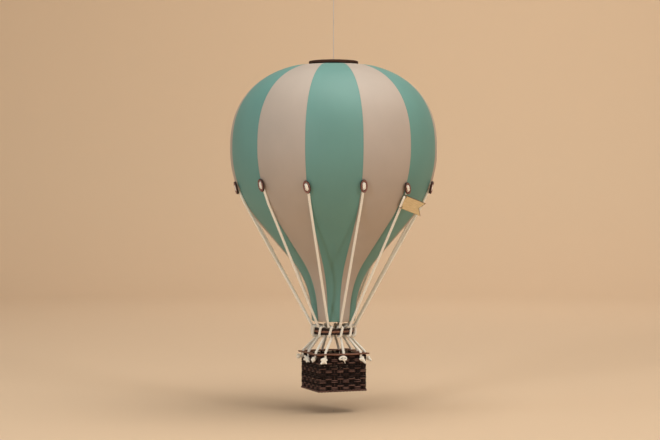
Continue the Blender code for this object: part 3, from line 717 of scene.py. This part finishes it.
def cordSize(path, index):
    # half width and half height: round, thin in the toggle's holes and flat over its face
    place, _, _, out = toggleFrame(index)
    offset = path - place
    face = smoothStep(offset @ out - toggle["standoff"], *cords["flat"])
    away = smoothStep(np.linalg.norm(offset, axis=1), *cords["full"])
    return tuple(between(between(cords["inHole"], cords[size], face), cords["radius"], away)
                 for size in ("overWidth", "overHeight"))


def cottonTube(path, width, height, start):
    return tube(path, width, height, start, cords["sides"], cords["ply"], cords["pitch"])


def cordTube(corners, index, start):
    # the corners' route, rounded and evened, with the cord's size at each point
    path = evenly(rounded(corners), cords["step"], softness=3)
    return cottonTube(path, *cordSize(path, index), start)


# Knots: those in front have their own turn, size and place; place and cut ends go along, up and out of the
# wall, in mm
knotLooks = {9: dict(turn=20, place=(3.0, -1.2, 1.8),
                     ends=((-1.5, 3.4, 2.4), (-3.0, -0.5, 2.6), (0.0, -3.3, 0.5), (5.0, -2.2, -0.3))),
             10: dict(turn=70, size=0.8, place=(-0.6, -0.1, 2.0),
                      ends=((4.2, 2.4, -0.2), (4.6, 0.0, -0.2), (1.0, -2.6, 0.4), (-0.5, -0.8, 1.6))),
             11: dict(turn=0, size=0.95, place=(-2.5, -0.9, 2.2),
                      ends=((-3.3, 1.5, 0.5), (-3.4, -2.9, 0.5), (2.4, -2.9, 0.3), (3.3, 0.9, 0.3),
                            (0.0, 2.9, 0.0))),
             0: dict(coil=1.6, size=1.0, place=(-0.9, 0.4, 2.0), ends=((1.4, -4.4, 0.2),), thin=0.4),
             1: dict(turn=40, size=0.74, place=(0.6, -0.8, 2.2),
                     ends=((-3.4, 0.8, 0.3), (3.1, -3.7, 0.5), (0.3, 3.0, 0.0), (1.6, -0.6, 0.9))),
             2: dict(turn=0, size=0.7, place=(0.0, -0.4, 3.0), ends=((-2.0, -2.6, 2.4), (0.5, 1.5, 1.2))),
             8: dict(turn=15, size=0.75, place=(0.0, 0.4, 4.2), ends=((0.0, -2.4, 1.2), (1.0, 2.0, 1.2)))}
knot = dict(spread=0.75 * mm, radius=1.32 * mm, steps=110, coilShare=0.72, coilWidth=0.92, coilHeight=0.55,
            stub=1.5 * mm, step=0.45 * mm, sides=15, pitch=4.5 * mm, endSteps=14, root=1.9 * mm, tip=0.8 * mm,
            endBow=0.7 * mm)


def knotPatches(index, foot, out, along):
    # a trefoil, one turn plus twice a double turn, or a spiral that rises to its middle, with cut ends that
    # taper to their tips
    k = knot
    look = dict(turn=37 * index, size=0.8, place=(0.0, -0.8, 2.4), ends=((2.4, -3.2, 0.6), (-3.0, 1.0, 0.6)))
    look.update(knotLooks.get(index, {}))
    coil = look.get("coil")
    axes = np.stack([along, up, out])
    middle = foot + np.array(look["place"]) @ axes * mm
    t = np.linspace(0.25, fullTurn - 0.25, k["steps"])
    if coil:
        x, y = k["coilWidth"] * t * np.cos(coil * t), k["coilHeight"] * t * np.sin(coil * t)
        z = 2 - 0.07 * t ** 2
    else:
        spin = math.radians(look["turn"])
        x, y, z = np.sin(t) + 2 * np.sin(2 * t), np.cos(t) - 2 * np.cos(2 * t), -1.2 * np.sin(3 * t)
        x, y = x * math.cos(spin) - y * math.sin(spin), x * math.sin(spin) + y * math.cos(spin)
    path = middle + look["size"] * k["spread"] * pointsAt(x, y, z) @ axes
    path = [foot[None] + out * k["stub"], path, middle[None]]
    path = evenly(np.concatenate(path[::-1] if coil else path), k["step"], softness=4)
    radius = k["radius"] * look["size"] * (k["coilShare"] if coil else 1)
    patches = [tube(path, radius, radius, out, k["sides"], cords["ply"], k["pitch"])]
    share = np.linspace(0, 1, k["endSteps"])
    for end in look["ends"]:
        path = middle + share[:, None] * (np.array(end) @ axes) * mm
        path = path + out * k["endBow"] * np.sin(share * 2.4)[:, None]
        reach = look.get("thin", 1.0) * between(k["root"], k["tip"], share ** 1.2)
        patches.append(tube(path, reach, reach, out, k["sides"], cords["ply"], k["pitch"]))
    return patches


def makeCord(index):
    # one tube through all the cord's corners, or two with the flag's lace between them, and its knot
    name = f"cord_{index + 1:02d}"
    hole, out, along = basketHole(index)
    foot = hole - up * cords["knotBelowRim"]
    across = toggleFrame(index)[2]
    tail = cordWrap(index) + [(hole + up * cords["rimBend"], cords["rimBend"]), (foot, cords["rimBend"]),
                              (foot + out * cords["intoKnot"], 0.0)]
    patches = knotPatches(index, foot, out, along)
    if index == flag["cord"]:
        upper, down = flagFrame()[:2]
        reach = flag["laceRun"] + flag["laceGap"]
        below = upper + down * (flag["holeSpacing"] + reach)
        above = cordTube(cordTop(index) + [(upper - down * reach, 0.0)], index, across)
        makePiece(f"{name}_upper_cotton", [above], cotton, "cotton_cord", f"{name}_top")
        corners = [(below, 0.0)] + tail
    else:
        corners = cordTop(index) + [(cordLeave(index), cords["shoulderBend"])] + tail
    makePiece(f"{name}_cotton", [cordTube(corners, index, across)] + patches, cotton, "cotton_cord", name)


# Flag: the blank wooden pennant laced on the second cord
flag = dict(cord=1, height=13.3 * mm, thickness=1.5 * mm, belowToggle=5.9 * mm, edge=1.25 * mm,
            turn=math.radians(-20.8), cordSeat=1.6 * mm, laceRun=1.3 * mm, laceBend=0.9 * mm,
            laceInHole=0.55 * mm, laceWidth=1.15 * mm, laceHeight=0.8 * mm, laceShift=0.65 * mm,
            laceGap=0.1 * mm, laceClear=0.05 * mm, laceShifts=(0, 0.45, 1, 1, 0.45, 0), frontStart=0.8 * mm,
            frontFull=0.3 * mm, softEdge=0.12 * mm, length=21.2 * mm, notch=4.2 * mm, hole=0.95 * mm,
            burn=0.45 * mm, burnLeast=0.12, holeBurn=0.45)
flag["holeSpacing"] = flag["height"] - 2 * flag["edge"]


def flagFrame():
    # the foot of the upper hole on the cord, and the flag's down, across and face directions
    start, end = cordLeave(flag["cord"]), cordWrap(flag["cord"])[0][0]
    down = unit(end - start)
    place = toggleFrame(flag["cord"])[0]
    foot = start + down * (flag["belowToggle"] + flag["edge"] - (start - place) @ down)
    toViewer = around(1.0, flag["turn"], 0.0)
    face = unit(toViewer - down * (toViewer @ down))
    across = np.cross(face, down)
    return foot, down, across * np.sign(across[0]), face


def makeFlagWood(name, edge):
    # plywood, its grain along the flag; the cut has scorched its edge, and the face by the outline. How far
    # in a place is goes by the nearest of the long edges, the cord's edge, the tail's slants and the holes
    tree, shader, material = newMaterial(name, 0.62)
    f = flag
    foot, down, across, face = flagFrame()
    along, over = (vectorMaths(tree, "DOT_PRODUCT", coordinates(tree), tuple(way)) for way in (across, down))
    flat = addNode(tree, "CombineXYZ", {"X": along, "Y": over}).outputs[0]
    grain = noise(tree, vectorMaths(tree, "MULTIPLY", flat, (220, 1900, 0)), detail=4, roughness=0.65)
    paint(tree, shader, grain, [(0.3, (0.56, 0.40, 0.20)), (0.75, (0.82, 0.64, 0.37))])
    facing = vectorMaths(tree, "DOT_PRODUCT", coordinates(tree, "Normal"), tuple(face))
    onFace = maths(tree, "GREATER_THAN", maths(tree, "ABSOLUTE", facing), 0.6)
    out, low = (maths(tree, "SUBTRACT", value, float(foot @ way))
                for value, way in ((along, across), (over, down)))
    off = maths(tree, "ABSOLUTE", maths(tree, "SUBTRACT", low, f["holeSpacing"] / 2))
    notch = f["length"] - f["edge"] - f["notch"]
    tail = maths(tree, "MULTIPLY_ADD", off, 2 * f["notch"] / f["height"], notch)
    hole = maths(tree, "SUBTRACT", off, f["holeSpacing"] / 2)
    hole = vectorMaths(tree, "LENGTH", addNode(tree, "CombineXYZ", {"X": out, "Y": hole}).outputs[0])
    hole = maths(tree, "MULTIPLY", maths(tree, "SUBTRACT", hole, f["hole"]), f["holeBurn"])
    inside = maths(tree, "SUBTRACT", f["height"] / 2, off)
    for other in (maths(tree, "SUBTRACT", tail, out), maths(tree, "ADD", out, f["edge"]), hole):
        inside = maths(tree, "MINIMUM", inside, other)
    inside = mapped(tree, inside, 0.0, f["burn"], f["burnLeast"])
    blendColor(tree, shader, maths(tree, "MULTIPLY", onFace, inside), edge)
    addBump(tree, shader, grain, 0.3, 0.08 * mm)
    return material


def makeFlag():
    # the CAD board with its edges eased, and a lace along the cord, out of one hole, over the face and back
    # through the other, flat where it is over the face
    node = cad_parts["flag"]
    node.data.materials.clear()
    node.data.materials.append(makeFlagWood("pale plywood", (0.12, 0.055, 0.025)))
    bevel = node.modifiers.new("soft edges", "BEVEL")
    f = flag
    bevel.width, bevel.segments = f["softEdge"], 2
    foot, down, across, face = flagFrame()
    over = f["cordSeat"] + f["thickness"] + f["laceClear"] + f["laceHeight"]
    stops = ((-f["laceRun"], 0.0), (0.0, 0.0), (0.0, over), (f["holeSpacing"], over),
             (f["holeSpacing"], 0.0), (f["holeSpacing"] + f["laceRun"], 0.0))
    corners = [(foot + down * s + face * high - across * shift * f["laceShift"], f["laceBend"])
               for (s, high), shift in zip(stops, f["laceShifts"])]
    path = evenly(rounded(corners), cords["step"] / 2, softness=3)
    front = smoothStep((path - foot) @ face - f["cordSeat"], f["frontStart"], f["thickness"] + f["frontFull"])
    width, height = (between(f["laceInHole"], f[size], front) for size in ("laceWidth", "laceHeight"))
    makePiece("flag_lace_cotton", [cottonTube(path, width, height, across)], cotton, "cotton_cord",
              "flag_lace", "flag")


for number in range(envelope["gores"]):
    makeCord(number)
makeFlag()
print("cords and flag made")

# Load ring: two bands of two twined canes with a smooth red one between, round a plain core
ring = dict(radius=18.2 * mm, twine=0.62 * mm, cane=0.80 * mm, turns=17, redRadius=18.8 * mm, red=1.0 * mm,
            redWaver=0.12 * mm, coreRadius=17.7 * mm, core=1.15 * mm, steps=360)


def makeRing():
    # hoops round the axis, and for a band two that wind about a hoop, half a turn apart
    r = ring
    angle = shares(r["steps"]) * fullTurn
    patches = []
    bandHalf = r["twine"] + r["cane"]
    for base, hand in ((ringHigh.z - bandHalf, 1), (ringLow.z + bandHalf, -1)):
        for half in (0, np.pi):
            wind = hand * r["turns"] * angle + half
            path = around(r["radius"] + r["twine"] * np.cos(wind), angle, base + r["twine"] * np.sin(wind))
            patches.append(tube(path, r["cane"], r["cane"], up, 12, closed=True, tone=half * 3 + base * 900))
    middle = (ringHigh.z + ringLow.z) / 2
    patches.append(tube(around(r["coreRadius"], angle, middle), r["core"], r["core"], up, 10, closed=True))
    makePiece("load_ring_bands", patches, darkCane, "ring_cane", "load_ring")
    path = around(r["redRadius"], angle, middle + r["redWaver"] * np.sin(3 * angle + 1))
    red = tube(path, r["red"], r["red"], up, 14, closed=True)
    amber = caneMaterial("amber cane", (0.17, 0.078, 0.050), (0.38, 0.19, 0.12), 0.5)[2]
    makePiece("load_ring_middle", [red], amber, "ring_cane", "load_ring")


makeRing()
print("load ring made")

# Basket: weavers in pairs go in and out of upright stakes, over a twined border
basket = dict(stakes=32, stake=0.95 * mm, stakeFlat=0.35, stakeFoot=0.4 * mm, stakeTop=0.9 * mm, rows=20,
              pastWall=0.7 * mm, swing=0.75 * mm, weaverWidth=0.60 * mm, fill=0.94,
              wobble=0.08 * mm, waver=0.10 * mm, corner=0.9 * mm, cornerSwing=0.3, cornerOut=0.35 * mm,
              cornerReach=3.5 * mm, samplesPerStake=10, tones=40, shadeFullBelow=0.1 * mm, shadeGoneAbove=0.85 * mm,
              border=0.85 * mm, borderTurns=30, borderOut=0.55 * mm, borderCorner=1.4 * mm,
              borderTwine=0.4 * mm, borderCane=0.62 * mm, borderMiddle=1.05 * mm)
basket["half"] = wallHigh.x + basket["pastWall"] - basket["swing"] - basket["weaverWidth"]


def squarePath(half, corner, share):
    # point and outward direction at shares of the way round a square with round corners, from its front
    # right corner on: straight sides and quarter circles laid end to end by length
    straight, arc = 2 * (half - corner), corner * np.pi / 2
    quarter, place = np.divmod(share * 4 % 4, 1)
    place = place * (straight + arc)
    run = np.minimum(place, straight)
    turn = np.maximum(place - straight, 0) / corner
    x = half - corner + corner * np.cos(turn)
    y = -(half - corner) + run + corner * np.sin(turn)
    c, s = np.cos(quarter * np.pi / 2), np.sin(quarter * np.pi / 2)
    return tuple(pointsAt(a * c - b * s, a * s + b * c, 0) for a, b in ((x, y), (np.cos(turn), np.sin(turn))))


def ripple(share, size, waves, random):
    # a sine that starts anywhere
    return size * np.sin(fullTurn * (share * waves + random.random()))


def makeWicker():
    # brown cane with painted shade: nearly black deep between the stakes, by the larger of |x| and |y|, and
    # along one side of each strand, by the cosine of v's turn
    tree, shader, material = caneMaterial("wicker", (0.070, 0.036, 0.029), (0.19, 0.105, 0.085), 0.6, 0.15)
    place = axesOf(tree, coordinates(tree))
    reach = maths(tree, "MAXIMUM", *(maths(tree, "ABSOLUTE", place[k]) for k in "XY"))
    # painted shade: darker the deeper a place lies between the stakes, and on one side of each strand
    out = mapped(tree, reach, basket["half"] + basket["shadeFullBelow"], basket["half"] + basket["shadeGoneAbove"])
    v = axesOf(tree, coordinates(tree, "UV"))["Y"]
    side = mapped(tree, maths(tree, "COSINE", maths(tree, "MULTIPLY", v, fullTurn)), 0.0, 0.65)
    blendColor(tree, shader, maths(tree, "MULTIPLY", out, side), (0.012, 0.006, 0.005))
    return material


def weaver(row, share, random):
    # a closed strand that swings out and in, half a period for each stake, two rows alike: the root of a
    # sine, less and further out near the corners
    b = basket
    bottom, top = wallLow.z + 2 * b["border"], wallHigh.z
    pitch = (top - bottom) / b["rows"]
    spot, out = squarePath(b["half"], b["corner"], share)
    wave = np.sin(np.pi * (b["stakes"] * share + row // 2 % 2))
    swing = b["swing"] * np.sign(wave) * np.abs(wave) ** 0.6
    swing = swing + ripple(share, b["wobble"], random.integers(3, 9), random)
    near = 1 - smoothStep(b["half"] - np.abs(spot[:, :2]).min(1), 0.0, b["cornerReach"])
    swing = swing * (1 - (1 - b["cornerSwing"]) * near) + b["cornerOut"] * near
    level = bottom + pitch * (row + 0.5) + ripple(share, b["waver"], 5, random)
    path = spot + out * swing[:, None] + up * level[:, None]
    return tube(path, b["weaverWidth"], pitch / 2 * b["fill"], out, 8, closed=True,
                tone=random.random() * b["tones"])


def makeBasket():
    # the weavers, straight flat stakes between them, and a border of two canes that wind about a square path,
    # half a turn apart
    b = basket
    random = np.random.default_rng(4)
    share = shares(b["stakes"] * b["samplesPerStake"])
    patches = [weaver(row, share, random) for row in range(b["rows"])]
    spots, outs = squarePath(b["half"], b["corner"], (np.arange(b["stakes"]) + 0.5) / b["stakes"])
    heights = np.linspace(wallLow.z + b["stakeFoot"], rimHigh.z - b["stakeTop"], 6)[:, None]
    for spot, out in zip(spots, outs):
        patches.append(tube(spot + up * heights, b["stake"] * b["stakeFlat"], b["stake"], out, 8,
                            tone=random.random() * b["tones"]))
    spot, out = squarePath(b["half"] + b["borderOut"], b["borderCorner"], share)
    for half in (0, np.pi):
        wind = fullTurn * b["borderTurns"] * share + half
        path = (spot + out * (b["borderTwine"] * np.cos(wind))[:, None]
                + up * (wallLow.z + b["borderMiddle"] + b["borderTwine"] * np.sin(wind))[:, None])
        patches.append(tube(path, b["borderCane"], b["borderCane"], out, 8, closed=True, tone=half * 7))
    makePiece("basket_weave", patches, makeWicker(), "wicker", "basket_wall")


# Basket floor: rows woven across a few stakes; each size is half a height and half a width
floorWeave = dict(rows=24, stakes=8, inset=0.6 * mm, swing=0.42 * mm, rowSize=(0.5 * mm, 0.95 * mm),
                  stakeSize=(0.55 * mm, 0.8 * mm))


def makeFloor():
    # strands along X that pass over and under ones along Y, as a sine of the place along them
    f = floorWeave
    random = np.random.default_rng(9)
    inner = basket["half"] - f["inset"]
    low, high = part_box("basket_floor")
    level = (low.z + high.z) / 2
    patches = []
    along = np.linspace(-inner, inner, 90)
    for row, y in enumerate(np.linspace(-inner + mm, inner - mm, f["rows"])):
        wave = f["swing"] * np.sin(np.pi * f["stakes"] * (along / inner + 1) / 2 + np.pi * (row % 2))
        path = pointsAt(along, y, level + wave)
        patches.append(tube(path, *f["rowSize"], up, 8, tone=random.random() * basket["tones"]))
    for x in (np.arange(f["stakes"]) + 0.5) / f["stakes"] * 2 * inner - inner:
        path = pointsAt(x, along, level)[::6]
        patches.append(tube(path, *f["stakeSize"], up, 8, tone=random.random() * basket["tones"]))
    makePiece("basket_floor_weave", patches, darkCane, "wicker", "basket_floor")


# Basket rim: three canes side by side, each with how far it is in from the rim's edge and its half width
rim = dict(canes=((0.9 * mm, 1.0 * mm), (2.7 * mm, 1.0 * mm), (4.4 * mm, 0.9 * mm)), halfHeight=0.75 * mm,
           below=0.8 * mm, corner=1.2 * mm, points=400, ripples=((0.15 * mm, 11), (0.25 * mm, 5)))


def makeRim():
    # each cane wavers a little in height, by the sum of two sines
    r = rim
    random = np.random.default_rng(6)
    share = shares(r["points"])
    patches = []
    for inwards, width in r["canes"]:
        spot, out = squarePath(rimHigh.x - inwards, r["corner"], share)
        waver = sum(ripple(share, size, waves, random) for size, waves in r["ripples"])
        path = spot + up * (rimHigh.z - r["below"] + waver)[:, None]
        patches.append(tube(path, width, r["halfHeight"], out, 12, closed=True,
                            tone=random.random() * basket["tones"]))
    makePiece("basket_rim_canes", patches, redCane, "wicker", "basket_rim")


makeBasket()
makeFloor()
makeRim()
print("basket made")

# Hanging line: a thin thread with its loop, a small knot on the disc and a stopper under it
line = dict(radius=0.3 * mm, loopInside=3.4 * mm, loopHeight=13.0 * mm, footSpread=0.32 * mm,
            knot=1.1 * mm, knotDrop=0.1 * mm, intoKnot=0.3 * mm, discKnot=0.8 * mm, stopper=2.9 * mm,
            stopperDrop=0.4 * mm, intoStopper=0.6 * mm, ridges=4, ridge=0.05, sides=12)


def bead(top, radius, thread):
    # a small wound ball on the thread: a circle's radius, with a fine ridge for each winding
    share = (1 - np.cos(np.linspace(0, np.pi, 40))) / 2
    path = top - up * (2 * radius * share)[:, None]
    reach = np.maximum(thread, 2 * radius * np.sqrt(share * (1 - share)))
    reach = reach * (1 + line["ridge"] * np.cos(share * fullTurn * line["ridges"]))
    return tube(path, reach, reach, right, line["sides"] + 8)


def makeLine():
    # a straight thread with its beads, and a loop of half a circle over two straight legs
    tree, shader, thread = newMaterial("pale thread", 0.35)
    fibre = noise(tree, scaledPlace(tree, (900, 900, 60)))
    paint(tree, shader, fibre, [(0.3, (0.40, 0.39, 0.41)), (0.7, (0.58, 0.56, 0.58))])
    radius = line["radius"]
    knotTop = -up * (line["loopHeight"] + line["knotDrop"])
    start = knotTop[2] - 2 * line["knot"] + line["intoKnot"]
    straight = up * np.linspace(start, discLow.z - line["intoStopper"], 40)[:, None]
    patches = [tube(straight, radius, radius, right, line["sides"]), bead(knotTop, line["knot"], radius),
               bead(up * (discHigh.z + 2 * line["discKnot"]), line["discKnot"], radius),
               bead(up * (discLow.z - line["stopperDrop"]), line["stopper"], radius)]
    makePiece("hanging_thread", patches, thread, "nylon_line", "hanging_line", "line")
    turn = np.linspace(0, np.pi, 40)
    reach = line["loopInside"] + radius
    arc = pointsAt(reach * np.cos(turn), 0, reach * np.sin(turn) - line["loopInside"])
    foot = np.array([line["footSpread"], 0, -line["loopHeight"] - line["intoKnot"]])
    path = evenly(np.concatenate([foot[None], arc, (foot * (-1, 1, 1))[None]]), 0.3 * mm, softness=8)
    loop = tube(path, radius, radius, np.array([0.0, 1.0, 0.0]), line["sides"])
    makePiece("hanging_thread_loop", [loop], thread, "nylon_line", "hanging_loop", "line")


makeLine()
print("line made")
